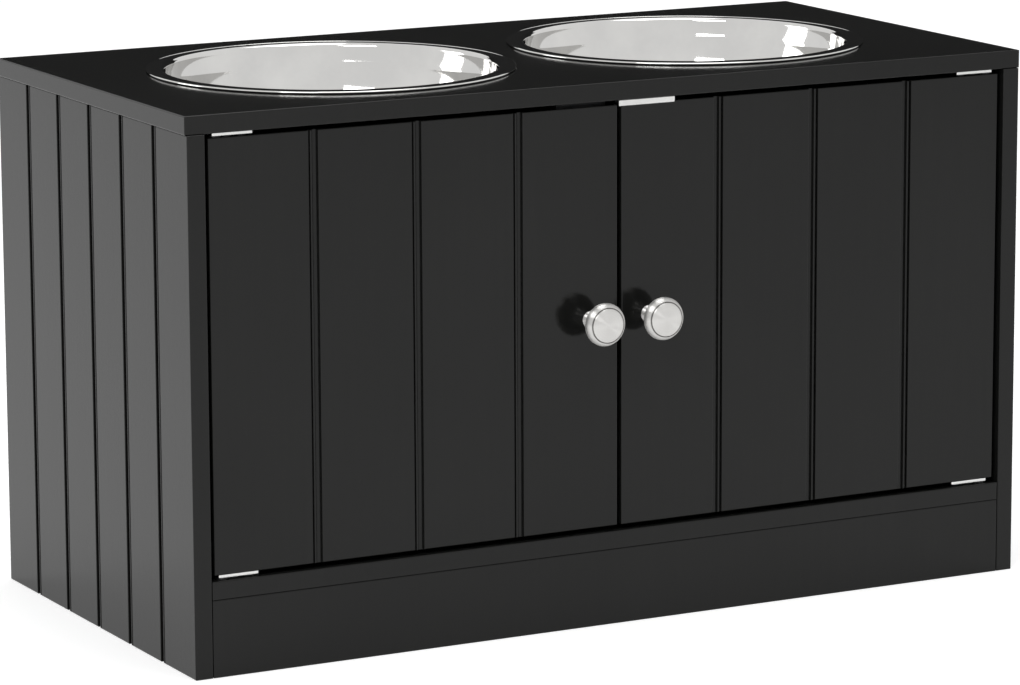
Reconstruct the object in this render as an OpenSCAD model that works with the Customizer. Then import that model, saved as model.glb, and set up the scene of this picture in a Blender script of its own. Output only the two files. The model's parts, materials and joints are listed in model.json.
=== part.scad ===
// Raised pet feeder: a low cabinet with two lift-out bowls in its top and
// a storage space behind a pair of inset, board-and-groove doors.
// Millimetres. +X to the right, the doors face -Y, +Z up.
// The origin is at the centre of the footprint, on the ground.

/* [Case] */
// Width across the two side panels
case_width = 608; // [560:1:760]
// Depth of the side panels, front edge to back edge
case_depth = 304; // [270:1:400]
// Height of the top face above the ground
case_height = 356; // [290:1:460]
// Thickness of the boards
board = 12; // [12:0.5:16]
// Round-over on the edges of the boards
edge_round = 0.8; // [0.5:0.1:2.5]
// How far the top panel stands out past each side panel
top_overhang = 1; // [0:0.5:6]
// How far the top panel lies behind the front edges of the side panels
top_front_setback = 1; // [0:0.5:3]
// How far the top panel stops short of the back edges of the side panels
top_back_setback = 1.5; // [0:0.5:3]
// Height of the plinth under the floor panel
plinth_height = 50; // [35:1:90]
// Boards that the grooves divide each side panel into
boards_per_side = 6; // [3:1:8]

/* [Doors] */
// Gap between a door and the side panel
door_side_gap = 3; // [2.5:0.1:5]
// Gap between the two doors
door_centre_gap = 3; // [2:0.1:6]
// Gap under and over the doors
door_end_gap = 3; // [2.8:0.1:6]
// How far the door faces lie behind the front edges of the case
door_recess = 2.6; // [0:0.1:6]
// Boards that the grooves divide each door into
boards_per_door = 4; // [2:1:6]
// Width of a groove at the face, its bead included
groove_width = 7.2; // [6:0.1:9]
// Depth of a groove
groove_depth = 2; // [1.4:0.1:4]
// Width of the bead that stands in a groove
groove_bead = 1.8; // [1:0.1:2.5]
// Width of the slot outside that bead
groove_slot = 1.2; // [0.6:0.1:1.6]
// Rounding of the groove's shoulder away from the bead
groove_shoulder = 0.5; // [0.3:0.1:1]

/* [Knobs] */
// Largest diameter of a knob
knob_diameter = 28; // [24:1:36]
// Length of a knob from the door face to its own face
knob_length = 25; // [22:0.5:32]
// Diameter of a knob's foot at the door
knob_base = 11.2; // [9:0.1:13]
// Distance from a door's free edge to the knob's axis
knob_inset = 20; // [18:1:60]
// Diameter of the knob's machine screw
knob_screw = 4; // [3:0.5:5]

/* [Hinges] */
// Distance from a door's outer edge to its pivot
pivot_inset = 7; // [6.5:0.1:8]
// Diameter of a pivot pin
pin_diameter = 3.4; // [2.5:0.1:4]
// Length of a hinge leaf
leaf_length = 28; // [26:1:40]
// Width of a hinge leaf
leaf_width = 8.8; // [7:0.1:9]
// Thickness of a hinge leaf
leaf_thickness = 2; // [1.5:0.1:2.2]
// Leaf that lies beyond the pivot, on the door's outer side
leaf_end = 3.6; // [3:0.1:4.5]
// Length of pin that reaches past the door leaf into the door
pin_tip = 4; // [2:0.5:8]

/* [Catches] */
// Length of the strike bar on the right door's top edge
strike_length = 41; // [30:1:60]
// Thickness of that strike bar
strike_thickness = 3.5; // [3:0.1:4]
// How far the strike bar reaches past the right door's free edge
strike_overhang = 1.5; // [0:0.1:2]
// Thickness of the strike plate let into the left door's rear face
flush_strike_thickness = 2; // [1.5:0.1:3]
// Length of a magnet case
magnet_case_length = 36; // [24:1:50]
// Width of a magnet case
magnet_case_width = 10; // [8:0.5:11]
// Height of a magnet case
magnet_case_height = 8; // [6:0.5:9]
// Gap between a magnet and its strike
catch_gap = 0.5; // [0.3:0.1:1]

/* [Bowls] */
// Diameter across a bowl's rolled edge
bowl_diameter = 242; // [200:1:250]
// Clear distance between the rolled edges of the two bowls
bowl_spacing = 24; // [12:1:40]
// How far the bowl centres lie in front of the top panel's middle
bowl_forward = 1.5; // [0:0.5:12]
// How far the rolled edge stands proud of the bowl metal, above and below
edge_roll = 0.25; // [0.1:0.05:1.5]
// Width of the flange from its outside to the bowl's opening
flange_width = 12; // [10:0.5:18]
// Depth of a bowl below its flange
bowl_depth = 70.6; // [56:0.1:90]
// Thickness of the bowl metal
bowl_sheet = 1; // [0.8:0.1:1.5]
// How far a bowl's wall leans out just below its lip
wall_top_lean = 5.5; // [4:0.5:8]
// Depth of the stacking shoulder in the wall below the flange
shoulder_depth = 13.6; // [10:0.1:18]
// How far the wall leans out just above the shoulder
shoulder_lean = 18; // [14:1:22]
// How far the wall leans out just below the shoulder
shoulder_foot_lean = 8; // [5:1:11]
// Radius of the wall's curve below the shoulder
wall_curve = 80; // [50:1:100]
// How far the lower part of the wall leans out
bowl_lean = 20; // [16:1:24]
// Radius of the curve between a bowl's wall and its bottom
bowl_corner = 26; // [12:1:34]
// Clearance of the top panel's cut-out round a bowl
cutout_clearance = 3; // [1:0.5:4]

/* [Fittings] */
// Distance from the case front or back to the nearest cam fitting
cam_inset = 60; // [50:1:80]
// Distance from a cam fitting to the dowel next to it
dowel_pitch = 32; // [20:1:40]
// Diameter of a cam
cam_diameter = 12; // [10:1:15]
// Distance from a joint to a cam's axis
cam_distance = 16; // [12:1:24]
// Diameter of a wooden dowel
dowel_diameter = 6; // [5:1:8]
// Thickness of the back panel
back_thickness = 3; // [2.5:0.5:5]
// Distance from the case back to the back panel's rear face
back_inset = 7; // [5:0.5:15]
// Depth of the slots that hold the back panel
slot_depth = 4; // [3:0.5:6]

/* [Hidden] */
$fn = 64;
large_round = 120;
arc_steps = 5;
bead_steps = 24;

// Overrun of a cut past the face that it opens, and of a join into its neighbour
over = 1;
eps = 0.01;

// Clearances
snug = 0.05;
running = 0.05;
loose = 0.3;
bore_end = 0.5;
bowl_seat_gap = 0.2;

// Levels and places that follow from the sizes above
side_height = case_height - board;
inner_x = case_width / 2 - board;
floor_top = plinth_height + board;
door_bottom = floor_top + door_end_gap;
door_top = side_height - door_end_gap;
door_height = door_top - door_bottom;
door_outer = inner_x - door_side_gap;
door_inner = door_centre_gap / 2;
door_width = door_outer - door_inner;
door_back = door_recess + board;
door_middle_y = door_recess + board / 2;
door_middle_z = (door_bottom + door_top) / 2;
knob_x = door_inner + knob_inset;
knob_stand_out = knob_length - door_recess;
case_front = -(case_depth - knob_stand_out) / 2;
pivot_x = door_outer - pivot_inset;
leaf_gap = door_end_gap - leaf_thickness;
pin_length = 2 * leaf_thickness + leaf_gap + pin_tip;
back_front = case_depth - back_inset - back_thickness;
bowl_x = (bowl_diameter + bowl_spacing) / 2;
bowl_y = (top_front_setback + case_depth - top_back_setback) / 2 - bowl_forward;
bead_radius = bowl_sheet / 2 + edge_roll;
bowl_opening = bowl_diameter / 2 - flange_width;
cutout_radius = bowl_opening + bowl_sheet + cutout_clearance;

// Screws
screw_diameter = 3;
screw_head = 5.6;
screw_head_height = 1.6;
pan_head = 8;
pan_head_crown = 6.4;
pan_head_height = 2.6;
recess_share = 0.6;
recess_arm_share = 0.25;
small_recess_depth = 0.8;
large_recess_depth = 1.2;

// Knock-down fittings
bolt_diameter = 5;
bolt_head = 6.6;
bolt_head_length = 3;
bolt_bore = 7;
thread_length = 8;
cam_floor = 0.2;
cam_depth = board / 2 + bolt_head / 2 + cam_floor;
dowel_long = 16;
plinth_dowel_inset = 12;
cam_rows = [cam_inset, case_depth - cam_inset];
dowel_rows = [cam_inset + dowel_pitch, case_depth - cam_inset - dowel_pitch];
plinth_dowel_levels = [plinth_dowel_inset, plinth_height - plinth_dowel_inset];

// Back panel
slot_clearance = 0.2;
back_panel_lift = 2;
back_screw_length = 15;
back_screw_count = 5;
back_screw_inset = 52;
back_screw_pitch = 2 * (inner_x - back_screw_inset) / (back_screw_count - 1);
back_screw_columns = [
    for (i = [0:back_screw_count - 1])
        -inner_x + back_screw_inset + i * back_screw_pitch
];

// Hinge leaves and washers
leaf_corner = 1;
leaf_screw_length = 10;
leaf_first_screw = 8.5;
leaf_last_screw_inset = 5.4;
leaf_screw_places = [leaf_first_screw, leaf_length - leaf_end - leaf_last_screw_inset];
washer_diameter = 8;

// Knobs
knob_engagement = 9;
knob_foot = 0.6;
knob_foot_taper = 2.6;
knob_waist_cut = 1.6;
knob_flare_radius = 5;
knob_flare_sweep = 70;
knob_rim_radius = 4;
knob_rim_behind = 5.1;
knob_rim_from = -40;
knob_rim_to = 68;
knob_face_inset = 2.4;
knob_face_crown = 0.7;
knob_groove_width = 0.6;
knob_groove_depth = 0.4;

// Catches
strike_depth = 1;
strike_side_margin = 0.4;
strike_screw_length = 14;
strike_screw_inset = 11;
flush_screw_length = 9;
flush_screw_inset = 8;
flush_strike_drop = 1;
magnet_length_margin = 3;
magnet_width_margin = 2;
magnet_height = 5;
catch_inset = 2;
catch_x = door_inner + catch_inset;
strike_width = board - 2 * strike_side_margin;
strike_x = door_inner - strike_overhang;
strike_bottom = door_top - strike_depth;
strike_top = strike_bottom + strike_thickness;
left_magnet_x = -catch_x - magnet_case_length;
left_case_seat = 1;
left_magnet_z = side_height + left_case_seat - magnet_case_width / 2;
left_strike_z = door_top - flush_strike_drop - magnet_case_width / 2;
right_magnet_bottom = strike_top + catch_gap;
strike_screw_places = [strike_x + strike_screw_inset, strike_x + strike_length - strike_screw_inset];
flush_screw_places = [left_magnet_x + flush_screw_inset, -catch_x - flush_screw_inset];

// Bowls
bowl_lip = 3;
// Below 0 the flange falls away from the opening
flange_slope = -2;
shoulder_round = 18;

black_paint = "#202124";
hardboard = "#4a4038";
steel = "#c9ccd0";
zinc = "#a7abaf";
plastic_black = "#141414";
beech = "#c9a26b";
magnet_grey = "#3a3a3c";

// ---- outlines ----

function arc_points(centre, radius, from, to, steps = arc_steps) =
    [for (i = [0:steps])
        let (a = from + (to - from) * i / steps)
        centre + radius * [cos(a), sin(a)]];

// A rectangle from low to high with rounded corners
function rounded_rectangle(low, high, r) = concat(
    arc_points([low.x + r, low.y + r], r, 180, 270),
    arc_points([high.x - r, low.y + r], r, 270, 360),
    arc_points([high.x - r, high.y - r], r, 0, 90),
    arc_points([low.x + r, high.y - r], r, 90, 180));

// A groove centred on x in a face at y = 0: a slot, a bead and a flat channel
function groove_points(x) =
    let (low = x - groove_width / 2,
         high = x + groove_width / 2,
         bead_low = low + groove_slot,
         bead_high = bead_low + groove_bead,
         r = groove_bead / 2)
    concat(
        [[low, 0], [low, groove_depth], [bead_low, groove_depth]],
        arc_points([bead_low + r, r], r, 180, 360),
        [[bead_high, groove_depth], [high - groove_shoulder, groove_depth]],
        arc_points([high, groove_shoulder], groove_shoulder, 180, 270));

// Plan outline of a board with its grooves in the face at y = 0
function grooved_outline(width, count) =
    let (r = edge_round,
         grooves = [for (i = [1:count - 1]) each groove_points(width * i / count)])
    concat(
        arc_points([r, r], r, 180, 270),
        grooves,
        arc_points([width - r, r], r, 270, 360),
        arc_points([width - r, board - r], r, 0, 90),
        arc_points([r, board - r], r, 90, 180));

// ---- boards ----

module prism_along_x(outline, from, to) {
    translate([from, 0, 0]) rotate([90, 0, 90]) linear_extrude(to - from) polygon(outline);
}

module prism_along_y(outline, from, to) {
    translate([0, to, 0]) rotate([90, 0, 0]) linear_extrude(to - from) polygon(outline);
}

module prism_along_z(outline, from, to) {
    translate([0, 0, from]) linear_extrude(to - from) polygon(outline);
}

// A board from low to high with every edge rounded over
module rounded_board(low, high) {
    plan = rounded_rectangle([low.x, low.y], [high.x, high.y], edge_round);
    end_view = rounded_rectangle([low.y, low.z], [high.y, high.z], edge_round);
    front_view = rounded_rectangle([low.x, low.z], [high.x, high.z], edge_round);
    intersection() {
        prism_along_z(plan, low.z - over, high.z + over);
        prism_along_x(end_view, low.x - over, high.x + over);
        prism_along_y(front_view, low.y - over, high.y + over);
    }
}

// An upright board, grooved in its face at y = 0, with its low corner at the origin
module grooved_board(width, height, count) {
    intersection() {
        prism_along_z(grooved_outline(width, count), -over, height + over);
        prism_along_x(rounded_rectangle([0, 0], [board, height], edge_round), -over, width + over);
        prism_along_y(rounded_rectangle([0, 0], [width, height], edge_round), -over, board + over);
    }
}

// ---- screws ----

// A countersunk screw: its head is flush with z = 0 and it points up
module countersunk_screw(length) {
    difference() {
        union() {
            cylinder(d1 = screw_head, d2 = screw_diameter, h = screw_head_height);
            translate([0, 0, screw_head_height - eps])
                cylinder(d = screw_diameter, h = length - screw_head_height + eps);
        }
        cross_recess(screw_head, small_recess_depth);
    }
}

// The hole that such a screw needs
module countersunk_hole(length) {
    wide = 2 * snug;
    translate([0, 0, -eps])
        cylinder(d1 = screw_head + wide, d2 = screw_diameter + wide, h = screw_head_height + eps);
    translate([0, 0, -eps]) cylinder(d = screw_diameter + wide, h = length + bore_end + eps);
}

// The cross in a screw head or a cam of the given diameter
module cross_recess(head, depth) {
    width = head * recess_share;
    arm = width * recess_arm_share;
    for (turn = [0, 90])
        rotate(turn) translate([-width / 2, -arm / 2, -over]) cube([width, arm, depth + over]);
}

// ---- knock-down fittings, with the joint at z = 0 ----
// The face board is above the joint. The edge board is below it, with its
// middle at x = 0 and its inner face at x = board / 2.

module cam_bolt() {
    translate([0, 0, -cam_distance]) cylinder(d = bolt_diameter, h = cam_distance + thread_length);
    translate([0, 0, -cam_distance - bolt_head_length / 2]) cylinder(d = bolt_head, h = bolt_head_length);
}

module cam_body(extra) {
    translate([board / 2 - cam_depth - extra, 0, -cam_distance])
        rotate([0, 90, 0]) cylinder(d = cam_diameter + 2 * extra, h = cam_depth + extra);
}

module cam() {
    difference() {
        cam_body(0);
        translate([0, 0, -cam_distance - bolt_head_length / 2 - snug])
            cylinder(d = bolt_bore, h = cam_diameter);
        translate([board / 2, 0, -cam_distance])
            rotate([0, -90, 0]) cross_recess(cam_diameter, large_recess_depth);
    }
}

module cam_bores() {
    translate([0, 0, -cam_distance]) cylinder(d = bolt_bore, h = cam_distance + eps);
    cam_body(snug);
    translate([board / 2 - over, 0, -cam_distance])
        rotate([0, 90, 0]) cylinder(d = cam_diameter + 2 * snug, h = 2 * over);
    cylinder(d = bolt_diameter + 2 * snug, h = thread_length + bore_end);
}

module dowel() {
    translate([0, 0, -dowel_long]) cylinder(d = dowel_diameter, h = dowel_long + thread_length);
}

module dowel_bore() {
    translate([0, 0, -dowel_long - bore_end])
        cylinder(d = dowel_diameter + 2 * snug, h = dowel_long + thread_length + 2 * bore_end);
}

// ---- places of the fittings in the case ----

module both_sides() {
    children();
    mirror([1, 0, 0]) children();
}

module at_top_joint(rows) {
    for (y = rows) translate([-case_width / 2 + board / 2, y, side_height]) children();
}

module at_floor_joint(rows) {
    for (y = rows)
        translate([-inner_x, y, plinth_height + board / 2]) rotate([0, 90, 180]) children();
}

module at_plinth_joint() {
    for (y = [board / 2, back_front - board / 2], z = plinth_dowel_levels)
        translate([-inner_x, y, z]) rotate([0, 90, 180]) children();
}

module left_case_bores() {
    at_top_joint(cam_rows) cam_bores();
    at_top_joint(dowel_rows) dowel_bore();
    at_floor_joint(cam_rows) cam_bores();
    at_floor_joint(dowel_rows) dowel_bore();
    at_plinth_joint() dowel_bore();
}

module at_back_screws() {
    for (x = back_screw_columns)
        translate([x, back_front + back_thickness, plinth_height + board / 2])
            rotate([90, 0, 0]) children();
}

// ---- hinges: local origin on the pivot, with the leaf running to +x ----

// A leaf from z = 0 up, with its screw heads at z = 0
module leaf(pin_clearance) {
    low = [-leaf_end, -leaf_width / 2];
    high = [leaf_length - leaf_end, leaf_width / 2];
    difference() {
        prism_along_z(rounded_rectangle(low, high, leaf_corner), 0, leaf_thickness);
        translate([0, 0, -over])
            cylinder(d = pin_diameter + 2 * pin_clearance, h = leaf_thickness + 2 * over);
        leaf_screw_holes();
    }
}

module leaf_pocket() {
    low = [-leaf_end - snug, -leaf_width / 2 - snug];
    high = [leaf_length - leaf_end + snug, leaf_width / 2 + snug];
    prism_along_z(rounded_rectangle(low, high, leaf_corner), -over, leaf_thickness);
}

module leaf_screws() {
    for (x = leaf_screw_places) translate([x, 0, 0]) countersunk_screw(leaf_screw_length);
}

module leaf_screw_holes() {
    for (x = leaf_screw_places) translate([x, 0, 0]) countersunk_hole(leaf_screw_length);
}

module at_left_pivot(z) {
    translate([-pivot_x, door_middle_y, z]) children();
}

module upper_frame_level() {
    at_left_pivot(side_height - leaf_thickness) children();
}

module lower_frame_level() {
    at_left_pivot(floor_top) mirror([0, 0, 1]) children();
}

module upper_door_level() {
    at_left_pivot(door_top) mirror([0, 0, 1]) children();
}

module lower_door_level() {
    at_left_pivot(door_bottom - leaf_thickness) children();
}

module upper_pin() {
    at_left_pivot(side_height - pin_length) cylinder(d = pin_diameter, h = pin_length);
}

module lower_pin() {
    at_left_pivot(floor_top - leaf_thickness) cylinder(d = pin_diameter, h = pin_length);
}

module hinge_washer(z) {
    at_left_pivot(z + running) difference() {
        cylinder(d = washer_diameter, h = leaf_gap - 2 * running);
        translate([0, 0, -over]) cylinder(d = pin_diameter + 2 * running, h = leaf_gap + 2 * over);
    }
}

// ---- catches ----

// A block along x, centred on y = 0
module catch_block(x_low, x_high, width, z_low, z_high) {
    translate([x_low, -width / 2, z_low]) cube([x_high - x_low, width, z_high - z_low]);
}

// A block centred on the door's thickness
module door_line_block(x_low, x_high, width, z_low, z_high) {
    translate([0, door_middle_y, 0]) catch_block(x_low, x_high, width, z_low, z_high);
}

// A magnet case with its open side at z = 0
module magnet_case(x_low) {
    difference() {
        magnet_case_block(x_low, 0);
        magnet_block(x_low, -over, snug);
    }
}

module magnet_case_block(x_low, extra) {
    catch_block(x_low - extra, x_low + magnet_case_length + extra, magnet_case_width + 2 * extra,
        0, magnet_case_height);
}

module magnet_block(x_low, z_low, extra) {
    catch_block(x_low + magnet_length_margin - extra,
        x_low + magnet_case_length - magnet_length_margin + extra,
        magnet_case_width - 2 * magnet_width_margin + 2 * extra, z_low, magnet_height);
}

// The left case opens forward, behind the door's top edge
module at_left_magnet() {
    translate([0, door_back + catch_gap, left_magnet_z]) rotate([-90, 0, 0]) children();
}

// The right case opens downward, over the strike bar
module at_right_magnet() {
    translate([0, door_middle_y, right_magnet_bottom]) children();
}

// The left strike plate's outer face, with z leading into the door
module at_left_strike() {
    translate([0, door_back, left_strike_z]) rotate([90, 0, 0]) children();
}

module at_right_strike_screws() {
    for (x = strike_screw_places)
        translate([x, door_middle_y, strike_top]) mirror([0, 0, 1]) children();
}

module at_left_strike_screws() {
    at_left_strike() for (x = flush_screw_places) translate([x, 0, 0]) children();
}

// ---- case ----

module top_panel() {
    low = [-case_width / 2 - top_overhang, top_front_setback, side_height];
    high = [case_width / 2 + top_overhang, case_depth - top_back_setback, case_height];
    color(black_paint) translate([0, case_front, 0]) difference() {
        rounded_board(low, high);
        for (x = [-bowl_x, bowl_x])
            translate([x, bowl_y, side_height - over])
                cylinder(r = cutout_radius, h = board + 2 * over, $fn = large_round);
        both_sides() left_case_bores();
        both_sides() upper_frame_level() leaf_screw_holes();
        at_left_magnet() magnet_case_block(left_magnet_x, snug);
        at_right_magnet() magnet_case_block(catch_x, snug);
    }
}

module side_panel() {
    slot_low = [-inner_x - slot_depth, back_front - slot_clearance, -over];
    slot_size = [slot_depth + over, back_thickness + 2 * slot_clearance, side_height + 2 * over];
    translate([0, case_front, 0]) difference() {
        translate([-case_width / 2, 0, 0]) mirror([1, -1, 0])
            grooved_board(case_depth, side_height, boards_per_side);
        translate(slot_low) cube(slot_size);
        left_case_bores();
    }
}

module left_side_panel() {
    color(black_paint) side_panel();
}

module right_side_panel() {
    color(black_paint) mirror([1, 0, 0]) side_panel();
}

module floor_panel() {
    low = [-inner_x + loose, 0, plinth_height];
    high = [inner_x - loose, back_front, floor_top];
    color(black_paint) translate([0, case_front, 0]) difference() {
        rounded_board(low, high);
        both_sides() left_case_bores();
        both_sides() lower_frame_level() leaf_pocket();
        both_sides() lower_frame_level() leaf_screw_holes();
        at_back_screws() cylinder(d = screw_diameter + 2 * snug, h = back_screw_length + bore_end);
    }
}

module plinth(y_low) {
    low = [-inner_x + loose, y_low, 0];
    high = [inner_x - loose, y_low + board, plinth_height];
    color(black_paint) translate([0, case_front, 0]) difference() {
        rounded_board(low, high);
        both_sides() at_plinth_joint() dowel_bore();
    }
}

module front_plinth() {
    plinth(0);
}

module rear_plinth() {
    plinth(back_front - board);
}

module back_panel() {
    reach = inner_x + slot_depth - loose;
    color(hardboard) translate([0, case_front, 0]) difference() {
        translate([-reach, back_front, back_panel_lift])
            cube([2 * reach, back_thickness, side_height - back_panel_lift]);
        at_back_screws() translate([0, 0, -over])
            cylinder(d = screw_diameter + 2 * snug, h = back_thickness + 2 * over);
    }
}

module cams() {
    color(zinc) translate([0, case_front, 0]) both_sides() {
        at_top_joint(cam_rows) cam();
        at_floor_joint(cam_rows) cam();
    }
}

module cam_bolts() {
    color(steel) translate([0, case_front, 0]) both_sides() {
        at_top_joint(cam_rows) cam_bolt();
        at_floor_joint(cam_rows) cam_bolt();
    }
}

module dowels() {
    color(beech) translate([0, case_front, 0]) both_sides() {
        at_top_joint(dowel_rows) dowel();
        at_floor_joint(dowel_rows) dowel();
        at_plinth_joint() dowel();
    }
}

module pan_screw(diameter, length) {
    difference() {
        translate([0, 0, -pan_head_height])
            cylinder(d1 = pan_head_crown, d2 = pan_head, h = pan_head_height);
        translate([0, 0, -pan_head_height]) cross_recess(pan_head, large_recess_depth);
    }
    translate([0, 0, -eps]) cylinder(d = diameter, h = length + eps);
}

module back_panel_screws() {
    color(zinc) translate([0, case_front, 0])
        at_back_screws() pan_screw(screw_diameter, back_screw_length);
}

// ---- hinge pieces on the case ----

module upper_frame_leaf() {
    color(steel) translate([0, case_front, 0]) upper_frame_level() leaf(snug);
}

module lower_frame_leaf() {
    color(steel) translate([0, case_front, 0]) lower_frame_level() leaf(snug);
}

module left_upper_frame_leaf() {
    upper_frame_leaf();
}

module right_upper_frame_leaf() {
    mirror([1, 0, 0]) upper_frame_leaf();
}

module left_lower_frame_leaf() {
    lower_frame_leaf();
}

module right_lower_frame_leaf() {
    mirror([1, 0, 0]) lower_frame_leaf();
}

module left_upper_pin() {
    color(zinc) translate([0, case_front, 0]) upper_pin();
}

module right_upper_pin() {
    mirror([1, 0, 0]) left_upper_pin();
}

module left_lower_pin() {
    color(zinc) translate([0, case_front, 0]) lower_pin();
}

module right_lower_pin() {
    mirror([1, 0, 0]) left_lower_pin();
}

module hinge_washers() {
    color(plastic_black) translate([0, case_front, 0]) both_sides() {
        hinge_washer(door_top);
        hinge_washer(floor_top);
    }
}

module frame_leaf_screws() {
    color(zinc) translate([0, case_front, 0]) both_sides() {
        upper_frame_level() leaf_screws();
        lower_frame_level() leaf_screws();
    }
}

module left_magnet_case() {
    color(plastic_black) translate([0, case_front, 0])
        at_left_magnet() magnet_case(left_magnet_x);
}

module right_magnet_case() {
    color(plastic_black) translate([0, case_front, 0])
        at_right_magnet() magnet_case(catch_x);
}

module left_magnet() {
    color(magnet_grey) translate([0, case_front, 0])
        at_left_magnet() magnet_block(left_magnet_x, 0, 0);
}

module right_magnet() {
    color(magnet_grey) translate([0, case_front, 0])
        at_right_magnet() magnet_block(catch_x, 0, 0);
}

// ---- doors ----

// The left door before its strike pocket, in the case's own frame
module door_blank() {
    difference() {
        translate([-door_outer, door_recess, door_bottom])
            grooved_board(door_width, door_height, boards_per_door);
        upper_door_level() leaf_pocket();
        upper_door_level() leaf_screw_holes();
        lower_door_level() leaf_screw_holes();
        upper_pin_bore();
        lower_pin_bore();
        translate([-knob_x, door_recess - over, door_middle_z])
            rotate([-90, 0, 0]) cylinder(d = knob_screw + 2 * loose, h = board + 2 * over);
    }
}

module upper_pin_bore() {
    at_left_pivot(side_height - pin_length - bore_end)
        cylinder(d = pin_diameter + 2 * loose, h = pin_length);
}

module lower_pin_bore() {
    at_left_pivot(door_bottom - over)
        cylinder(d = pin_diameter + 2 * loose, h = pin_tip + bore_end + over);
}

module left_door_panel() {
    color(black_paint) translate([0, case_front, 0]) difference() {
        door_blank();
        at_left_strike()
            catch_block(left_magnet_x - snug, -catch_x + snug, magnet_case_width + 2 * snug,
                -over, flush_strike_thickness);
        at_left_strike_screws() countersunk_hole(flush_screw_length);
    }
}

module right_door_panel() {
    notch_end = strike_x + strike_length + snug;
    color(black_paint) translate([0, case_front, 0]) difference() {
        mirror([1, 0, 0]) door_blank();
        door_line_block(door_inner - over, notch_end, board + 2 * over, strike_bottom, door_top + over);
        at_right_strike_screws() countersunk_hole(strike_screw_length);
    }
}

// Half section of a knob: x is the radius and y the distance from the door.
// A foot and a waist lead through a concave flare to the rim and the domed face.
module knob_profile() {
    radius = knob_diameter / 2;
    foot = knob_base / 2;
    waist = foot - knob_waist_cut;
    face = radius - knob_face_inset;
    face_edge = knob_length - knob_face_crown;
    rim_centre = [radius - knob_rim_radius, knob_length - knob_rim_behind];
    rim = arc_points(rim_centre, knob_rim_radius, knob_rim_from, knob_rim_to, 2 * arc_steps);
    flare_x = waist + knob_flare_radius;
    flare_end_x = flare_x - knob_flare_radius * cos(knob_flare_sweep);
    flare_end_y = rim[0].y - (rim[0].x - flare_end_x) * tan(90 - knob_flare_sweep);
    flare_y = flare_end_y - knob_flare_radius * sin(knob_flare_sweep);
    flare = arc_points([flare_x, flare_y], knob_flare_radius, 180, 180 - knob_flare_sweep);
    difference() {
        polygon(concat(
            [[0, 0], [foot, 0], [foot, knob_foot], [waist, knob_foot + knob_foot_taper]],
            flare,
            rim,
            [[face, face_edge], [0, knob_length]]));
        translate([face - knob_groove_width, face_edge - knob_groove_depth])
            square([knob_groove_width, knob_face_crown + knob_groove_depth + over]);
        translate([-over, -over])
            square([over + knob_screw / 2 + snug, knob_engagement + bore_end + over]);
    }
}

module knob() {
    translate([-knob_x, door_recess, door_middle_z]) rotate([90, 0, 0])
        rotate_extrude($fn = large_round) knob_profile();
}

module knob_machine_screw() {
    translate([-knob_x, door_back, door_middle_z]) rotate([90, 0, 0])
        pan_screw(knob_screw, board + knob_engagement);
}

module left_knob() {
    color(steel) translate([0, case_front, 0]) knob();
}

module right_knob() {
    mirror([1, 0, 0]) left_knob();
}

module left_knob_screw() {
    color(zinc) translate([0, case_front, 0]) knob_machine_screw();
}

module right_knob_screw() {
    mirror([1, 0, 0]) left_knob_screw();
}

module left_upper_door_leaf() {
    color(steel) translate([0, case_front, 0]) upper_door_level() leaf(running);
}

module right_upper_door_leaf() {
    mirror([1, 0, 0]) left_upper_door_leaf();
}

module left_lower_door_leaf() {
    color(steel) translate([0, case_front, 0]) lower_door_level() leaf(running);
}

module right_lower_door_leaf() {
    mirror([1, 0, 0]) left_lower_door_leaf();
}

module left_door_leaf_screws() {
    color(zinc) translate([0, case_front, 0]) {
        upper_door_level() leaf_screws();
        lower_door_level() leaf_screws();
    }
}

module right_door_leaf_screws() {
    mirror([1, 0, 0]) left_door_leaf_screws();
}

module left_strike_plate() {
    color(steel) translate([0, case_front, 0]) difference() {
        at_left_strike()
            catch_block(left_magnet_x, -catch_x, magnet_case_width, 0, flush_strike_thickness);
        at_left_strike_screws() countersunk_hole(flush_screw_length);
    }
}

module left_strike_screws() {
    color(zinc) translate([0, case_front, 0])
        at_left_strike_screws() countersunk_screw(flush_screw_length);
}

module right_strike_bar() {
    color(steel) translate([0, case_front, 0]) difference() {
        door_line_block(strike_x, strike_x + strike_length, strike_width, strike_bottom, strike_top);
        at_right_strike_screws() countersunk_hole(strike_screw_length);
    }
}

module right_strike_screws() {
    color(zinc) translate([0, case_front, 0])
        at_right_strike_screws() countersunk_screw(strike_screw_length);
}

// ---- bowls ----

// Direction out of a bowl, square to a wall that leans out by an angle
function square_to_wall(lean) = [cos(lean), -sin(lean)];

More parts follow.
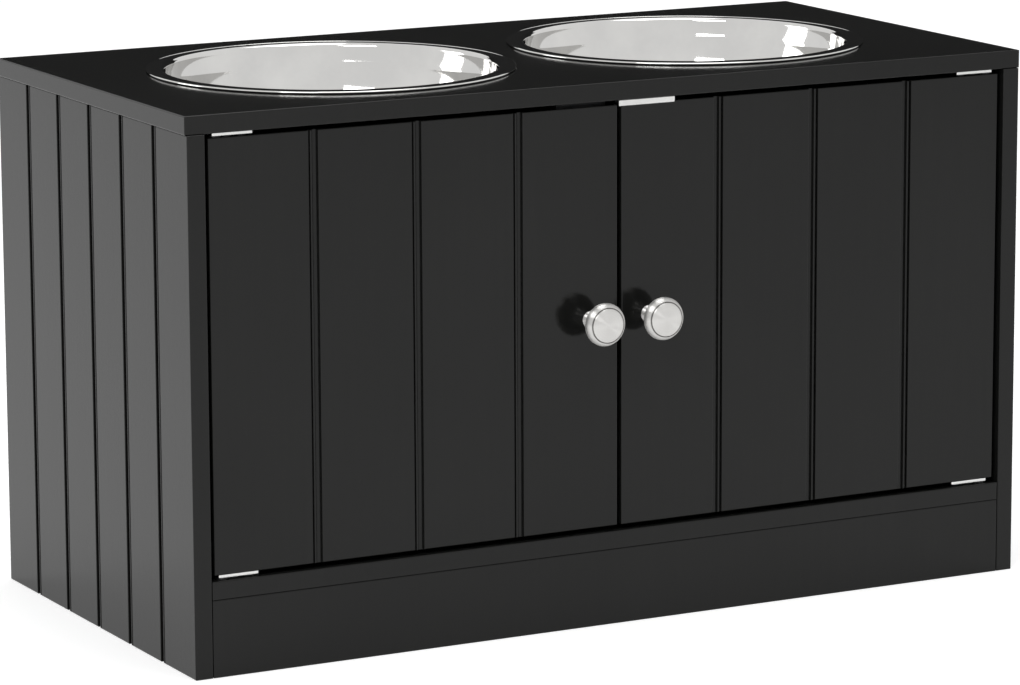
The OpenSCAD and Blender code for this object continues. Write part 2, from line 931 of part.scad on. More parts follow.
// Half section of a bowl: x is the radius and y = 0 is the top panel's face.
// The bottom, wall and flange are one sheet, and the flange ends in a rolled edge.
// The wall curves inwards, steps back at the stacking shoulder and curves inwards again.
module bowl_profile() {
    bead = [bowl_diameter / 2 - bead_radius, bowl_seat_gap + bead_radius];
    flange_angle = asin(bowl_sheet / 2 / bead_radius);
    rolled_edge = arc_points(bead, bead_radius, 180 - flange_angle, flange_angle - 180, bead_steps);
    flange_end = rolled_edge[0];
    lip_x = bowl_opening + bowl_lip;
    lip_top = [lip_x, flange_end.y - (flange_end.x - lip_x) * tan(flange_slope)];
    lip_centre = lip_top - bowl_lip * [cos(90 + flange_slope), sin(90 + flange_slope)];
    wall_top = lip_centre - bowl_lip * square_to_wall(wall_top_lean);

    shoulder_height = shoulder_round * (sin(shoulder_lean) - sin(shoulder_foot_lean));
    shoulder_top = lip_top.y - shoulder_depth + shoulder_height / 2;
    top_curve = (wall_top.y - shoulder_top) / (sin(shoulder_lean) - sin(wall_top_lean));
    top_centre = wall_top - top_curve * square_to_wall(wall_top_lean);
    shoulder_centre = top_centre + (top_curve + shoulder_round) * square_to_wall(shoulder_lean);
    wall_centre = shoulder_centre - (shoulder_round + wall_curve) * square_to_wall(shoulder_foot_lean);
    wall_end = wall_centre + wall_curve * square_to_wall(bowl_lean);

    bottom = lip_top.y - bowl_depth;
    corner_y = bottom + bowl_corner;
    drop = wall_end.y - (corner_y - bowl_corner * sin(bowl_lean));
    corner_x = wall_end.x - drop * tan(bowl_lean) - bowl_corner * cos(bowl_lean);
    corner = [corner_x, corner_y];
    inside = concat(
        [[0, bottom]],
        arc_points(corner, bowl_corner, -90, -bowl_lean),
        arc_points(wall_centre, wall_curve, -bowl_lean, -shoulder_foot_lean),
        arc_points(shoulder_centre, shoulder_round, 180 - shoulder_foot_lean, 180 - shoulder_lean),
        arc_points(top_centre, top_curve, -shoulder_lean, -wall_top_lean),
        arc_points(lip_centre, bowl_lip, 180 - wall_top_lean, 90 + flange_slope));
    outside = concat(
        arc_points(lip_centre, bowl_lip - bowl_sheet, 90 + flange_slope, 180 - wall_top_lean),
        arc_points(top_centre, top_curve + bowl_sheet, -wall_top_lean, -shoulder_lean),
        arc_points(shoulder_centre, shoulder_round - bowl_sheet,
            180 - shoulder_lean, 180 - shoulder_foot_lean),
        arc_points(wall_centre, wall_curve + bowl_sheet, -shoulder_foot_lean, -bowl_lean),
        arc_points(corner, bowl_corner + bowl_sheet, -bowl_lean, -90),
        [[0, bottom - bowl_sheet]]);
    polygon(concat(inside, rolled_edge, outside));
}

module bowl() {
    translate([-bowl_x, bowl_y, case_height]) rotate_extrude($fn = large_round) bowl_profile();
}

module left_bowl() {
    color(steel) translate([0, case_front, 0]) bowl();
}

module right_bowl() {
    mirror([1, 0, 0]) left_bowl();
}

top_panel();
left_side_panel();
right_side_panel();
floor_panel();
back_panel();
front_plinth();
rear_plinth();
cams();
cam_bolts();
dowels();
back_panel_screws();
left_upper_frame_leaf();
right_upper_frame_leaf();
left_lower_frame_leaf();
right_lower_frame_leaf();
left_upper_pin();
right_upper_pin();
left_lower_pin();
right_lower_pin();
hinge_washers();
frame_leaf_screws();
left_magnet_case();
right_magnet_case();
left_magnet();
right_magnet();
left_door_panel();
left_knob();
left_knob_screw();
left_upper_door_leaf();
left_lower_door_leaf();
left_door_leaf_screws();
left_strike_plate();
left_strike_screws();
right_door_panel();
right_knob();
right_knob_screw();
right_upper_door_leaf();
right_lower_door_leaf();
right_door_leaf_screws();
right_strike_bar();
right_strike_screws();
left_bowl();
right_bowl();
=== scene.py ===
"""Looks of the raised pet feeder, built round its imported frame. Metres, +Z up, doors facing -Y."""
import json
import math

import bpy
from mathutils import Matrix, Vector


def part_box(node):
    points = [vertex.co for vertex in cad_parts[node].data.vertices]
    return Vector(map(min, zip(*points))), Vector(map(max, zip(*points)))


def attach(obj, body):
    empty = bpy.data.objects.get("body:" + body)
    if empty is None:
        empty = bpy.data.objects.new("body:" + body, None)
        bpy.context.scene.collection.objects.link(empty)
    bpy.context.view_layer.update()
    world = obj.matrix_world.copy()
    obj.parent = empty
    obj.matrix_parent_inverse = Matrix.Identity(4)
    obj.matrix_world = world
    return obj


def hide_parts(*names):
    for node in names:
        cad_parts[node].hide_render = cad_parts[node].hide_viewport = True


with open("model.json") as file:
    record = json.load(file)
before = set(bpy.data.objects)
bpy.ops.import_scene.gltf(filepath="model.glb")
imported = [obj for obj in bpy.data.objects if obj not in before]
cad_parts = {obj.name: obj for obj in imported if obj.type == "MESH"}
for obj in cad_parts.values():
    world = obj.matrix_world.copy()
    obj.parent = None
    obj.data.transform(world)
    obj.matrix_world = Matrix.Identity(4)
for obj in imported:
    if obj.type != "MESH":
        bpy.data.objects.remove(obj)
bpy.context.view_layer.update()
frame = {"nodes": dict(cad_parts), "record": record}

NODES = frame["nodes"]
SLOT_OF = {part["node"]: part["material_slot"] for part in frame["record"]["subparts"]}

# ---- camera, fitted to the corners of the photographed case ----
CAMERA_PLACE = Vector((-1.522, -2.863, 0.801))
CAMERA_TURN = 27.89
CAMERA_DIP = 11.146
CAMERA_ROLL = -0.244
CAMERA_LENS = 173.8
CAMERA_CLIP = (0.05, 100.0)
SENSOR_WIDTH = 36.0

# ---- stage ----
FLOOR_RADIUS = 30.0
FLOOR_SIDES = 96
FLOOR_COLOUR = (0.80, 0.80, 0.80)
FLOOR_GLOW = 0.42
DIFFUSE_WORLD = 0.62
# name, place, target, width and height, and power in watts of each lamp
LAMPS = (
    ("key", (-2.6, -2.2, 3.0), (0, 0, 0.2), (1.6, 1.6), 60.0),
    ("left_box", (-3.4, 2.2, 1.1), (-0.3, 0, 0.25), (1.4, 1.8), 30.0),
    ("top_box", (0.4, -0.2, 3.4), (0, 0, 0.3), (2.4, 1.6), 45.0),
)

# ---- black flag behind the set, so that the top panel doesn't mirror the pale backdrop ----
FLAG_AZIMUTH = 28.0
FLAG_DISTANCE = 3.2
FLAG_WIDTH = 4.6
FLAG_LOW = 0.25
FLAG_HIGH = 1.75
FLAG_COLOUR = (0.02, 0.02, 0.02)

# ---- bowls ----
BOWL_SEGMENTS = 256
BOWL_RIM_RADIUS = 0.121
BEAD_RADIUS = 0.00075
BOWL_SHEET = 0.001
BOWL_OPENING = 0.109
BOWL_LIP = 0.003
BOWL_SEAT = 0.0002
BOWL_DEPTH = 0.0706
BOWL_CORNER = 0.026
FLANGE_SLOPE = math.radians(-2)
WALL_TOP_LEAN = math.radians(5.5)
SHOULDER_DEPTH = 0.0136
SHOULDER_LEAN = math.radians(18)
SHOULDER_FOOT_LEAN = math.radians(8)
SHOULDER_ROUND = 0.018
WALL_CURVE = 0.080
BOWL_LEAN = math.radians(20)
CORNER_STEPS = 36
CURVE_STEPS = 16
SHOULDER_STEPS = 12
BEAD_STEPS = 40
SLOPE_STEPS = 6
BOTTOM_STEPS = 10

# ---- knobs ----
KNOB_SEGMENTS = 160
KNOB_RADIUS = 0.014
KNOB_LENGTH = 0.025
KNOB_BASE = 0.0056
KNOB_FOOT = 0.0006
KNOB_FOOT_TAPER = 0.0026
KNOB_WAIST_CUT = 0.0016
KNOB_CONE_STEPS = 20
KNOB_EDGE_BREAK = 0.0001
KNOB_WAIST_RUN = 0.0002
KNOB_RIM_RADIUS = 0.004
KNOB_RIM_BEHIND = 0.0051
KNOB_RIM_FROM = math.radians(-40)
KNOB_RIM_TO = math.radians(68)
KNOB_RIM_STEPS = 28
KNOB_FLARE_RADIUS = 0.005
KNOB_FLARE_SWEEP = math.radians(70)
KNOB_FLARE_STEPS = 20
KNOB_FACE_EDGE = KNOB_RADIUS - 0.0024
KNOB_FACE_CROWN = 0.0007
KNOB_FACE_DOME = 0.00064
KNOB_FACE_STEPS = 10
KNOB_RING_WIDTH = 0.0006
KNOB_RING_DEPTH = 0.0004
# how far behind the knob's tip its face ring gets painted shade, and how softly that ends
KNOB_SHADE_REACH = 0.0013
KNOB_SHADE_FADE = 0.0004


# ---------------------------------------------------------------- outlines

def arc(centre, radius, start, end, steps):
    """Points on an arc; the angles are in radians."""
    return [
        Vector((centre[0] + radius * math.cos(start + (end - start) * i / steps),
                centre[1] + radius * math.sin(start + (end - start) * i / steps)))
        for i in range(steps + 1)
    ]


def lathe(name, outline, segments, place, axis):
    """Turns a closed outline of (radius, height) points round an axis and returns a smooth mesh object."""
    verts, rows = [], []
    for point in outline:
        if point[0] < 1e-7:
            rows.append([len(verts)])
            verts.append((0.0, 0.0, point[1]))
            continue
        rows.append(list(range(len(verts), len(verts) + segments)))
        for k in range(segments):
            angle = 2 * math.pi * k / segments
            verts.append((point[0] * math.cos(angle), point[0] * math.sin(angle), point[1]))
    faces = []
    for lower, upper in zip(rows, rows[1:] + rows[:1]):
        if len(lower) == 1 and len(upper) == 1:
            continue
        for k in range(segments):
            after = (k + 1) % segments
            if len(lower) == 1:
                faces.append((lower[0], upper[after], upper[k]))
            elif len(upper) == 1:
                faces.append((lower[k], lower[after], upper[0]))
            else:
                faces.append((lower[k], lower[after], upper[after], upper[k]))
    mesh = bpy.data.meshes.new(name)
    turn = Vector((0, 0, 1)).rotation_difference(Vector(axis)).to_matrix()
    mesh.from_pydata([turn @ Vector(v) + Vector(place) for v in verts], [], faces)
    mesh.validate()
    mesh.update()
    mesh.shade_smooth()
    piece = bpy.data.objects.new(name, mesh)
    bpy.context.scene.collection.objects.link(piece)
    return piece


# ---------------------------------------------------------------- materials

class Paint:
    """A node material with a Principled shader and helpers to wire it."""

    def __init__(self, name):
        self.material = bpy.data.materials.new(name)
        self.material.use_nodes = True
        self.tree = self.material.node_tree
        self.shader = self.tree.nodes["Principled BSDF"]
        self.place = self.add("ShaderNodeTexCoord").outputs["Object"]

    def add(self, kind, **settings):
        made = self.tree.nodes.new(kind)
        for key, value in settings.items():
            setattr(made, key, value)
        return made

    def join(self, output, socket):
        self.tree.links.new(output, socket)

    def set(self, **values):
        for key, value in values.items():
            self.shader.inputs[key.replace("_", " ")].default_value = value

    def mapping(self, scale):
        made = self.add("ShaderNodeMapping")
        made.inputs["Scale"].default_value = scale
        self.join(self.place, made.inputs["Vector"])
        return made.outputs["Vector"]

    def noise(self, scale, detail, rough, source=None):
        made = self.add("ShaderNodeTexNoise")
        made.inputs["Scale"].default_value = scale
        made.inputs["Detail"].default_value = detail
        made.inputs["Roughness"].default_value = rough
        self.join(source or self.place, made.inputs["Vector"])
        return made.outputs["Fac"]

    def ramp(self, source, low, high, from_low=0.3, from_high=0.7):
        made = self.add("ShaderNodeMapRange")
        limits = {"From Min": from_low, "From Max": from_high, "To Min": low, "To Max": high}
        for key, value in limits.items():
            made.inputs[key].default_value = value
        self.join(source, made.inputs["Value"])
        return made.outputs["Result"]

    def colours(self, source, stops):
        made = self.add("ShaderNodeValToRGB")
        ramp = made.color_ramp
        while len(ramp.elements) < len(stops):
            ramp.elements.new(0.5)
        for element, (place, colour) in zip(ramp.elements, stops):
            element.position = place
            element.color = (*colour, 1.0)
        self.join(source, made.inputs["Fac"])
        return made.outputs["Color"]

    def maths(self, operation, first, second=0.0):
        made = self.add("ShaderNodeMath", operation=operation)
        for socket, value in zip(made.inputs, (first, second)):
            if isinstance(value, (int, float)):
                socket.default_value = value
            else:
                self.join(value, socket)
        return made.outputs["Value"]

    def mixed(self, first, second, share):
        """Two values added up, the first with its share and the second with the rest."""
        rest = round(1.0 - share, 3)
        return self.maths("ADD", self.maths("MULTIPLY", first, share), self.maths("MULTIPLY", second, rest))

    def bump(self, height, strength, distance, below=None):
        made = self.add("ShaderNodeBump")
        made.inputs["Strength"].default_value = strength
        made.inputs["Distance"].default_value = distance
        self.join(height, made.inputs["Height"])
        if below:
            self.join(below, made.inputs["Normal"])
        return made.outputs["Normal"]

    def finish(self, colour=None, rough=None, normal=None):
        for output, key in ((colour, "Base Color"), (rough, "Roughness"), (normal, "Normal")):
            if output:
                self.join(output, self.shader.inputs[key])
        return self.material


def black_paint():
    """Satin black paint rolled on smooth board: a fine orange peel over a faint long grain."""
    paint = Paint("satin_black_paint")
    paint.set(Specular_IOR_Level=0.2)
    peel = paint.noise(420.0, 3.0, 0.5)
    stipple = paint.noise(1500.0, 2.0, 0.6)
    grain = paint.noise(1.0, 5.0, 0.6, paint.mapping((240.0, 240.0, 9.0)))
    clouds = paint.noise(7.0, 3.0, 0.5)
    colour = paint.colours(paint.mixed(clouds, grain, 0.6), [
        (0.30, (0.0064, 0.0065, 0.0062)),
        (0.55, (0.0078, 0.0079, 0.0075)),
        (0.75, (0.0094, 0.0094, 0.0090)),
    ])
    rough = paint.maths("ADD", paint.ramp(clouds, 0.085, 0.11), paint.ramp(stipple, -0.01, 0.02))
    soft = paint.bump(peel, 0.07, 0.0005)
    normal = paint.bump(grain, 0.04, 0.0004, paint.bump(stipple, 0.05, 0.0003, soft))
    return paint.finish(colour, rough, normal)


def painted_hardboard():
    """Thin pressed board with a dull dark coat and the fine pocked texture of its rough side."""
    paint = Paint("dark_hardboard")
    paint.set(Specular_IOR_Level=0.25)
    fibres = paint.noise(1.0, 5.0, 0.65, paint.mapping((520.0, 300.0, 380.0)))
    pits = paint.noise(1100.0, 3.0, 0.6)
    clouds = paint.noise(9.0, 3.0, 0.5)
    colour = paint.colours(paint.mixed(fibres, clouds, 0.6), [
        (0.30, (0.016, 0.014, 0.013)),
        (0.70, (0.034, 0.029, 0.026)),
    ])
    normal = paint.bump(fibres, 0.25, 0.0006, paint.bump(pits, 0.2, 0.0004))
    return paint.finish(colour, paint.ramp(fibres, 0.62, 0.82), normal)


def beech():
    """Fluted hardwood dowel stock: straight pores on a warm ground."""
    paint = Paint("beech_dowel")
    paint.set(Specular_IOR_Level=0.35)
    pores = paint.noise(1.0, 5.0, 0.6, paint.mapping((1500.0, 900.0, 900.0)))
    colour = paint.colours(pores, [
        (0.3, (0.36, 0.21, 0.09)),
        (0.6, (0.58, 0.38, 0.17)),
        (0.8, (0.66, 0.46, 0.24)),
    ])
    return paint.finish(colour, paint.ramp(pores, 0.5, 0.7), paint.bump(pores, 0.3, 0.0003))


def mirror_steel():
    """Deep-drawn stainless steel, polished: faint turned lines and a slow ripple of the sheet."""
    paint = Paint("polished_bowl_steel")
    paint.set(Metallic=1.0)
    ripple = paint.noise(16.0, 2.0, 0.5)
    marks = paint.noise(900.0, 3.0, 0.6)
    smears = paint.noise(26.0, 4.0, 0.6)
    colour = paint.colours(smears, [(0.35, (0.58, 0.575, 0.565)), (0.70, (0.64, 0.635, 0.62))])
    rough = paint.maths("ADD", paint.ramp(smears, 0.03, 0.06), paint.ramp(marks, -0.01, 0.02))
    normal = paint.bump(ripple, 0.25, 0.0016, paint.bump(marks, 0.02, 0.0002))
    return paint.finish(colour, rough, normal)


def brushed(name, tint, low_rough, high_rough, scale):
    """Metal with fine scratches; scale sets how the scratches run."""
    paint = Paint(name)
    paint.set(Metallic=1.0)
    scratches = paint.noise(1.0, 5.0, 0.65, paint.mapping(scale))
    blotches = paint.noise(140.0, 3.0, 0.5)
    light = tuple(min(1.0, c * 1.08) for c in tint)
    dark = tuple(c * 0.86 for c in tint)
    colour = paint.colours(paint.mixed(scratches, blotches, 0.6), [(0.3, dark), (0.7, light)])
    rough = paint.ramp(scratches, low_rough, high_rough)
    return paint.finish(colour, rough, paint.bump(scratches, 0.12, 0.0002))


def turned_knob_steel(name, centre):
    """Turned and satin-polished knob: fine rings about its own axis, and painted shade darkening the ring
    in its face.
    """
    paint = Paint(name)
    paint.set(Metallic=1.0, Anisotropic=0.96, Anisotropic_Rotation=0.25)
    shifted = paint.add("ShaderNodeVectorMath", operation="SUBTRACT")
    shifted.inputs[1].default_value = centre
    paint.join(paint.place, shifted.inputs[0])
    parts = paint.add("ShaderNodeSeparateXYZ")
    paint.join(shifted.outputs["Vector"], parts.inputs["Vector"])
    squares = [paint.maths("MULTIPLY", parts.outputs[k], parts.outputs[k]) for k in ("X", "Z")]
    radius = paint.maths("SQRT", paint.maths("ADD", *squares))
    rings = paint.noise(1.0, 4.0, 0.7)
    line = paint.add("ShaderNodeCombineXYZ")
    paint.join(paint.maths("MULTIPLY", radius, 5200.0), line.inputs["X"])
    paint.join(paint.maths("MULTIPLY", parts.outputs["Y"], 2600.0), line.inputs["Y"])
    paint.join(line.outputs["Vector"], rings.node.inputs["Vector"])
    turned = paint.colours(rings, [(0.3, (0.52, 0.515, 0.50)), (0.7, (0.66, 0.65, 0.635))])
    ring_radius = KNOB_FACE_EDGE - KNOB_RING_WIDTH / 2
    from_ring = paint.maths("ABSOLUTE", paint.maths("SUBTRACT", radius, ring_radius))
    shade_start = KNOB_SHADE_REACH - KNOB_LENGTH / 2
    near_tip = paint.ramp(parts.outputs["Y"], 1.0, 0.0, shade_start, shade_start + KNOB_SHADE_FADE)
    ring_shade_mask = paint.maths("MULTIPLY", paint.ramp(from_ring, 1.0, 0.0, 0.0002, 0.0004), near_tip)
    # painted shade: the face ring near the tip is mixed toward a dark grey-brown, standing in for shade in
    # the groove
    painted_ring_shade = paint.add("ShaderNodeMix", data_type="RGBA")
    paint.join(ring_shade_mask, painted_ring_shade.inputs["Factor"])
    paint.join(turned, painted_ring_shade.inputs["A"])
    painted_ring_shade.inputs["B"].default_value = (0.10, 0.095, 0.09, 1.0)
    colour = painted_ring_shade.outputs["Result"]
    tangent = paint.add("ShaderNodeTangent", direction_type="RADIAL", axis="Y")
    paint.join(tangent.outputs["Tangent"], paint.shader.inputs["Tangent"])
    return paint.finish(colour, paint.ramp(rings, 0.34, 0.41), paint.bump(rings, 0.05, 0.00005))


def plain_moulding(name, colour, rough):
    """Injection-moulded plastic or sintered block: spark-eroded texture and small tone changes."""
    paint = Paint(name)
    texture = paint.noise(1700.0, 3.0, 0.6)
    clouds = paint.noise(60.0, 3.0, 0.5)
    dark = tuple(c * 0.8 for c in colour)
    light = tuple(c * 1.25 for c in colour)
    colour = paint.colours(clouds, [(0.3, dark), (0.7, light)])
    gloss = paint.ramp(texture, rough - 0.06, rough + 0.08)
    return paint.finish(colour, gloss, paint.bump(texture, 0.2, 0.0002))


FINISHES = {
    "black_board": black_paint(),
    "hardboard": painted_hardboard(),
    "dowel_wood": beech(),
    "bowl_steel": mirror_steel(),
    "zinc_fittings": brushed("zinc_plate", (0.58, 0.59, 0.60), 0.26, 0.44, (800.0, 800.0, 800.0)),
    "hinge_steel": brushed("hinge_steel", (0.64, 0.64, 0.63), 0.16, 0.30, (160.0, 1900.0, 1900.0)),
    "case_plastic": plain_moulding("catch_case_plastic", (0.018, 0.018, 0.019), 0.5),
    "magnet": plain_moulding("sintered_magnet", (0.06, 0.06, 0.065), 0.55),
}


def dress(piece, material):
    """Gives every material slot of a piece the same finish."""
    if not piece.data.materials:
        piece.data.materials.append(material)
    for slot in piece.material_slots:
        slot.material = material


for node_name, node_object in NODES.items():
    if SLOT_OF[node_name] in FINISHES:
        dress(node_object, FINISHES[SLOT_OF[node_name]])


# ---------------------------------------------------------------- bowls

def square_to_wall(lean):
    """Direction out of a bowl, square to a wall that leans out by an angle."""
    return Vector((math.cos(lean), -math.sin(lean)))


def slope(start, end):
    """Points between two points, without those two."""
    return [start.lerp(end, k / SLOPE_STEPS) for k in range(1, SLOPE_STEPS)]


def bowl_outline():
    """Closed half section of a bowl: (radius, height over the panel), up inside and down outside."""
    bead = (BOWL_RIM_RADIUS - BEAD_RADIUS, BOWL_SEAT + BEAD_RADIUS)
    tuck = math.asin(BOWL_SHEET / 2 / BEAD_RADIUS)
    rolled = arc(bead, BEAD_RADIUS, math.pi - tuck, tuck - math.pi, BEAD_STEPS)
    lip_x = BOWL_OPENING + BOWL_LIP
    lip_top = Vector((lip_x, rolled[0].y - (rolled[0].x - lip_x) * math.tan(FLANGE_SLOPE)))
    up = math.pi / 2 + FLANGE_SLOPE
    lip = lip_top - BOWL_LIP * Vector((math.cos(up), math.sin(up)))
    wall_top = lip - BOWL_LIP * square_to_wall(WALL_TOP_LEAN)
    shoulder_height = SHOULDER_ROUND * (math.sin(SHOULDER_LEAN) - math.sin(SHOULDER_FOOT_LEAN))
    shoulder_top = lip_top.y - SHOULDER_DEPTH + shoulder_height / 2
    top_curve = (wall_top.y - shoulder_top) / (math.sin(SHOULDER_LEAN) - math.sin(WALL_TOP_LEAN))
    top = wall_top - top_curve * square_to_wall(WALL_TOP_LEAN)
    shoulder = top + (top_curve + SHOULDER_ROUND) * square_to_wall(SHOULDER_LEAN)
    wall = shoulder - (SHOULDER_ROUND + WALL_CURVE) * square_to_wall(SHOULDER_FOOT_LEAN)
    wall_end = wall + WALL_CURVE * square_to_wall(BOWL_LEAN)
    bottom = lip_top.y - BOWL_DEPTH
    corner_y = bottom + BOWL_CORNER
    drop = wall_end.y - (corner_y - BOWL_CORNER * math.sin(BOWL_LEAN))
    corner_x = wall_end.x - drop * math.tan(BOWL_LEAN) - BOWL_CORNER * math.cos(BOWL_LEAN)

    def skin(inset):
        """The sheet's surface from the middle of the bottom to the lip; inset is 0 inside."""
        runs = [
            arc((corner_x, corner_y), BOWL_CORNER + inset, -math.pi / 2, -BOWL_LEAN, CORNER_STEPS),
            arc(wall, WALL_CURVE + inset, -BOWL_LEAN, -SHOULDER_FOOT_LEAN, CURVE_STEPS),
            arc(shoulder, SHOULDER_ROUND - inset,
                math.pi - SHOULDER_FOOT_LEAN, math.pi - SHOULDER_LEAN, SHOULDER_STEPS),
            arc(top, top_curve + inset, -SHOULDER_LEAN, -WALL_TOP_LEAN, CURVE_STEPS),
            arc(lip, BOWL_LIP - inset, math.pi - WALL_TOP_LEAN, up, CURVE_STEPS),
        ]
        lower = slope(runs[0][-1], runs[1][0])
        floor = [Vector((corner_x * k / BOTTOM_STEPS, bottom - inset)) for k in range(BOTTOM_STEPS)]
        return floor + runs[0] + lower + runs[1] + runs[2][1:] + runs[3][1:] + runs[4][1:]

    inside, outside = skin(0.0), skin(BOWL_SHEET)
    flange = slope(inside[-1], rolled[0])
    under = slope(rolled[-1], outside[-1])
    return inside + flange + rolled + under + outside[::-1]


def make_bowl(side, body):
    low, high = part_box(side + "_bowl")
    centre = (low + high) / 2
    outline = bowl_outline()
    face = high.z - max(p.y for p in outline)
    bowl = lathe(side + "_drawn_bowl", outline, BOWL_SEGMENTS, (centre.x, centre.y, face), (0, 0, 1))
    dress(bowl, FINISHES["bowl_steel"])
    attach(bowl, body)
    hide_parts(side + "_bowl")


for bowl_side in ("left", "right"):
    make_bowl(bowl_side, bowl_side + "_bowl_body")


# ---------------------------------------------------------------- knobs

def knob_outline():
    """Closed half section of a knob: (radius, distance from the door), with a turned ring in its face."""
    waist = KNOB_BASE - KNOB_WAIST_CUT
    cone_end = KNOB_FOOT + KNOB_FOOT_TAPER
    foot = [
        Vector((0.0, 0.0)),
        Vector((KNOB_BASE - KNOB_EDGE_BREAK, 0.0)),
        Vector((KNOB_BASE, KNOB_EDGE_BREAK)),
        Vector((KNOB_BASE, KNOB_FOOT - KNOB_EDGE_BREAK)),
    ]
    cone_from, cone_to = Vector((KNOB_BASE, KNOB_FOOT)), Vector((waist, cone_end))
    cone = [cone_from.lerp(cone_to, k / KNOB_CONE_STEPS) for k in range(KNOB_CONE_STEPS + 1)]
    neck = [Vector((waist, cone_end + KNOB_WAIST_RUN))]

    rim_centre = (KNOB_RADIUS - KNOB_RIM_RADIUS, KNOB_LENGTH - KNOB_RIM_BEHIND)
    rim = arc(rim_centre, KNOB_RIM_RADIUS, KNOB_RIM_FROM, KNOB_RIM_TO, KNOB_RIM_STEPS)
    flare_x = waist + KNOB_FLARE_RADIUS
    end_x = flare_x - KNOB_FLARE_RADIUS * math.cos(KNOB_FLARE_SWEEP)
    end_y = rim[0].y - (rim[0].x - end_x) / math.tan(KNOB_FLARE_SWEEP)
    flare_centre = (flare_x, end_y - KNOB_FLARE_RADIUS * math.sin(KNOB_FLARE_SWEEP))
    flare = arc(flare_centre, KNOB_FLARE_RADIUS, math.pi, math.pi - KNOB_FLARE_SWEEP, KNOB_FLARE_STEPS)

    ring_floor = KNOB_LENGTH - KNOB_FACE_CROWN - KNOB_RING_DEPTH
    ring_inner = KNOB_FACE_EDGE - KNOB_RING_WIDTH
    ring = [
        Vector((KNOB_FACE_EDGE, KNOB_LENGTH - KNOB_FACE_CROWN)),
        Vector((KNOB_FACE_EDGE - KNOB_EDGE_BREAK, ring_floor)),
        Vector((ring_inner + KNOB_EDGE_BREAK, ring_floor)),
        Vector((ring_inner, KNOB_LENGTH - KNOB_FACE_DOME)),
    ]
    shares = [1 - k / KNOB_FACE_STEPS for k in range(1, KNOB_FACE_STEPS + 1)]
    face = [Vector((ring_inner * share, KNOB_LENGTH - KNOB_FACE_DOME * share ** 2)) for share in shares]
    return foot + cone + neck + flare + rim + ring + face


def make_knob(side, body):
    low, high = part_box(side + "_knob")
    centre = (low + high) / 2
    place = (centre.x, high.y, centre.z)
    knob = lathe(side + "_turned_knob", knob_outline(), KNOB_SEGMENTS, place, (0, -1, 0))
    dress(knob, turned_knob_steel(side + "_knob_steel", centre))
    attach(knob, body)
    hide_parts(side + "_knob")


for knob_side in ("left", "right"):
    make_knob(knob_side, knob_side + "_door")


# ---------------------------------------------------------------- stage, lights and camera

def seen_or_mirrored(tree):
    """1 for camera, glossy and transmission rays."""
    path = tree.nodes.new("ShaderNodeLightPath")
    total = None
    for key in ("Is Camera Ray", "Is Glossy Ray", "Is Transmission Ray"):
        if total is None:
            total = path.outputs[key]
            continue
        both = tree.nodes.new("ShaderNodeMath")
        both.operation = "MAXIMUM"
        tree.links.new(total, both.inputs[0])
        tree.links.new(path.outputs[key], both.inputs[1])
        total = both.outputs["Value"]
    return total


def make_floor():
    """A pale disc that keeps the object's shadow."""
    mesh = bpy.data.meshes.new("floor")
    angles = [2 * math.pi * k / FLOOR_SIDES for k in range(FLOOR_SIDES)]
    corners = [(FLOOR_RADIUS * math.cos(a), FLOOR_RADIUS * math.sin(a), 0.0) for a in angles]
    mesh.from_pydata(corners, [], [tuple(range(FLOOR_SIDES))])
    floor = bpy.data.objects.new("floor", mesh)
    bpy.context.scene.collection.objects.link(floor)
    material = bpy.data.materials.new("pale_floor")
    material.use_nodes = True
    tree = material.node_tree
    tree.nodes.remove(tree.nodes["Principled BSDF"])
    matte = tree.nodes.new("ShaderNodeBsdfDiffuse")
    matte.inputs["Color"].default_value = (*FLOOR_COLOUR, 1.0)
    glow = tree.nodes.new("ShaderNodeEmission")
    strength = tree.nodes.new("ShaderNodeMath")
    strength.operation = "MULTIPLY"
    strength.inputs[1].default_value = FLOOR_GLOW
    tree.links.new(seen_or_mirrored(tree), strength.inputs[0])
    tree.links.new(strength.outputs["Value"], glow.inputs["Strength"])
    both = tree.nodes.new("ShaderNodeAddShader")
    tree.links.new(matte.outputs["BSDF"], both.inputs[0])
    tree.links.new(glow.outputs["Emission"], both.inputs[1])
    tree.links.new(both.outputs["Shader"], tree.nodes["Material Output"].inputs["Surface"])
    mesh.materials.append(material)


def make_world():
    """White where it is seen or mirrored, and dimmer as a light."""
    world = bpy.data.worlds.new("studio")
    bpy.context.scene.world = world
    world.use_nodes = True
    tree = world.node_tree
    background = tree.nodes["Background"]
    spread = tree.nodes.new("ShaderNodeMapRange")
    spread.inputs["To Min"].default_value = DIFFUSE_WORLD
    spread.inputs["To Max"].default_value = 1.0
    tree.links.new(seen_or_mirrored(tree), spread.inputs["Value"])
    tree.links.new(spread.outputs["Result"], background.inputs["Strength"])
    background.inputs["Color"].default_value = (1.0, 1.0, 1.0, 1.0)


def make_lamp(name, place, target, size, power):
    """A soft box at a place, turned to a target. Size is its width and height."""
    data = bpy.data.lights.new(name, "AREA")
    data.shape = "RECTANGLE"
    data.size, data.size_y = size
    data.energy = power
    lamp = bpy.data.objects.new(name, data)
    lamp.location = place
    lamp.rotation_euler = (Vector(target) - Vector(place)).to_track_quat("-Z", "Y").to_euler()
    bpy.context.scene.collection.objects.link(lamp)


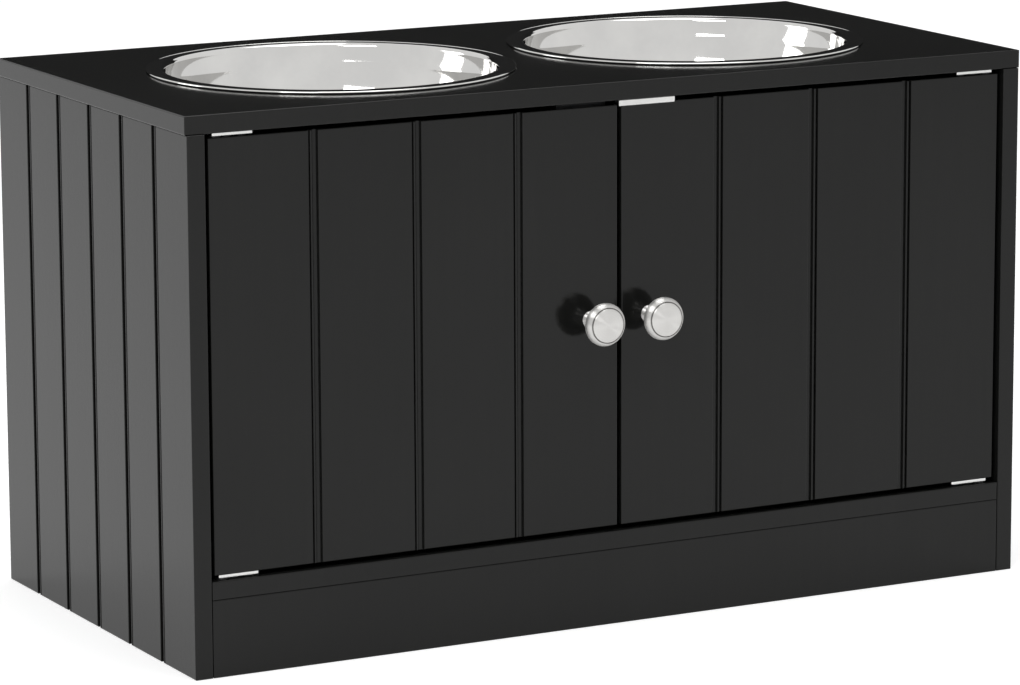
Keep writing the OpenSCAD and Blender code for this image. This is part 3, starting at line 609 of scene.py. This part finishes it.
def make_flag():
    """An upright flag beyond the object that faces it and that only mirrorings show."""
    heading = math.radians(FLAG_AZIMUTH)
    middle = Vector((math.sin(heading), math.cos(heading), 0.0)) * FLAG_DISTANCE
    across = Vector((math.cos(heading), -math.sin(heading), 0.0)) * FLAG_WIDTH / 2
    left, right = middle - across, middle + across
    corners = [
        (left.x, left.y, FLAG_LOW),
        (right.x, right.y, FLAG_LOW),
        (right.x, right.y, FLAG_HIGH),
        (left.x, left.y, FLAG_HIGH),
    ]
    mesh = bpy.data.meshes.new("flag")
    mesh.from_pydata(corners, [], [(0, 1, 2, 3)])
    material = bpy.data.materials.new("flag_cloth")
    material.use_nodes = True
    cloth = material.node_tree.nodes["Principled BSDF"]
    cloth.inputs["Base Color"].default_value = (*FLAG_COLOUR, 1.0)
    cloth.inputs["Roughness"].default_value = 1.0
    cloth.inputs["Specular IOR Level"].default_value = 0.0
    mesh.materials.append(material)
    flag = bpy.data.objects.new("flag", mesh)
    bpy.context.scene.collection.objects.link(flag)
    flag.visible_camera = False
    flag.visible_diffuse = False
    flag.visible_shadow = False


def make_camera():
    """The photograph's viewpoint."""
    turn, dip, roll = (math.radians(a) for a in (CAMERA_TURN, CAMERA_DIP, CAMERA_ROLL))
    ahead = Vector((math.sin(turn) * math.cos(dip), math.cos(turn) * math.cos(dip), -math.sin(dip)))
    right = Vector((math.cos(turn), -math.sin(turn), 0.0))
    up = right.cross(ahead)
    side = right * math.cos(roll) + up * math.sin(roll)
    top = up * math.cos(roll) - right * math.sin(roll)
    data = bpy.data.cameras.new("camera")
    data.sensor_width = SENSOR_WIDTH
    data.lens = CAMERA_LENS
    data.clip_start, data.clip_end = CAMERA_CLIP
    camera = bpy.data.objects.new("camera", data)
    camera.matrix_world = Matrix((
        (side.x, top.x, -ahead.x, CAMERA_PLACE.x),
        (side.y, top.y, -ahead.y, CAMERA_PLACE.y),
        (side.z, top.z, -ahead.z, CAMERA_PLACE.z),
        (0, 0, 0, 1)))
    bpy.context.scene.collection.objects.link(camera)
    bpy.context.scene.camera = camera


make_floor()
make_world()
make_flag()
for lamp_values in LAMPS:
    make_lamp(*lamp_values)
make_camera()

bpy.context.scene.view_settings.view_transform = "Standard"
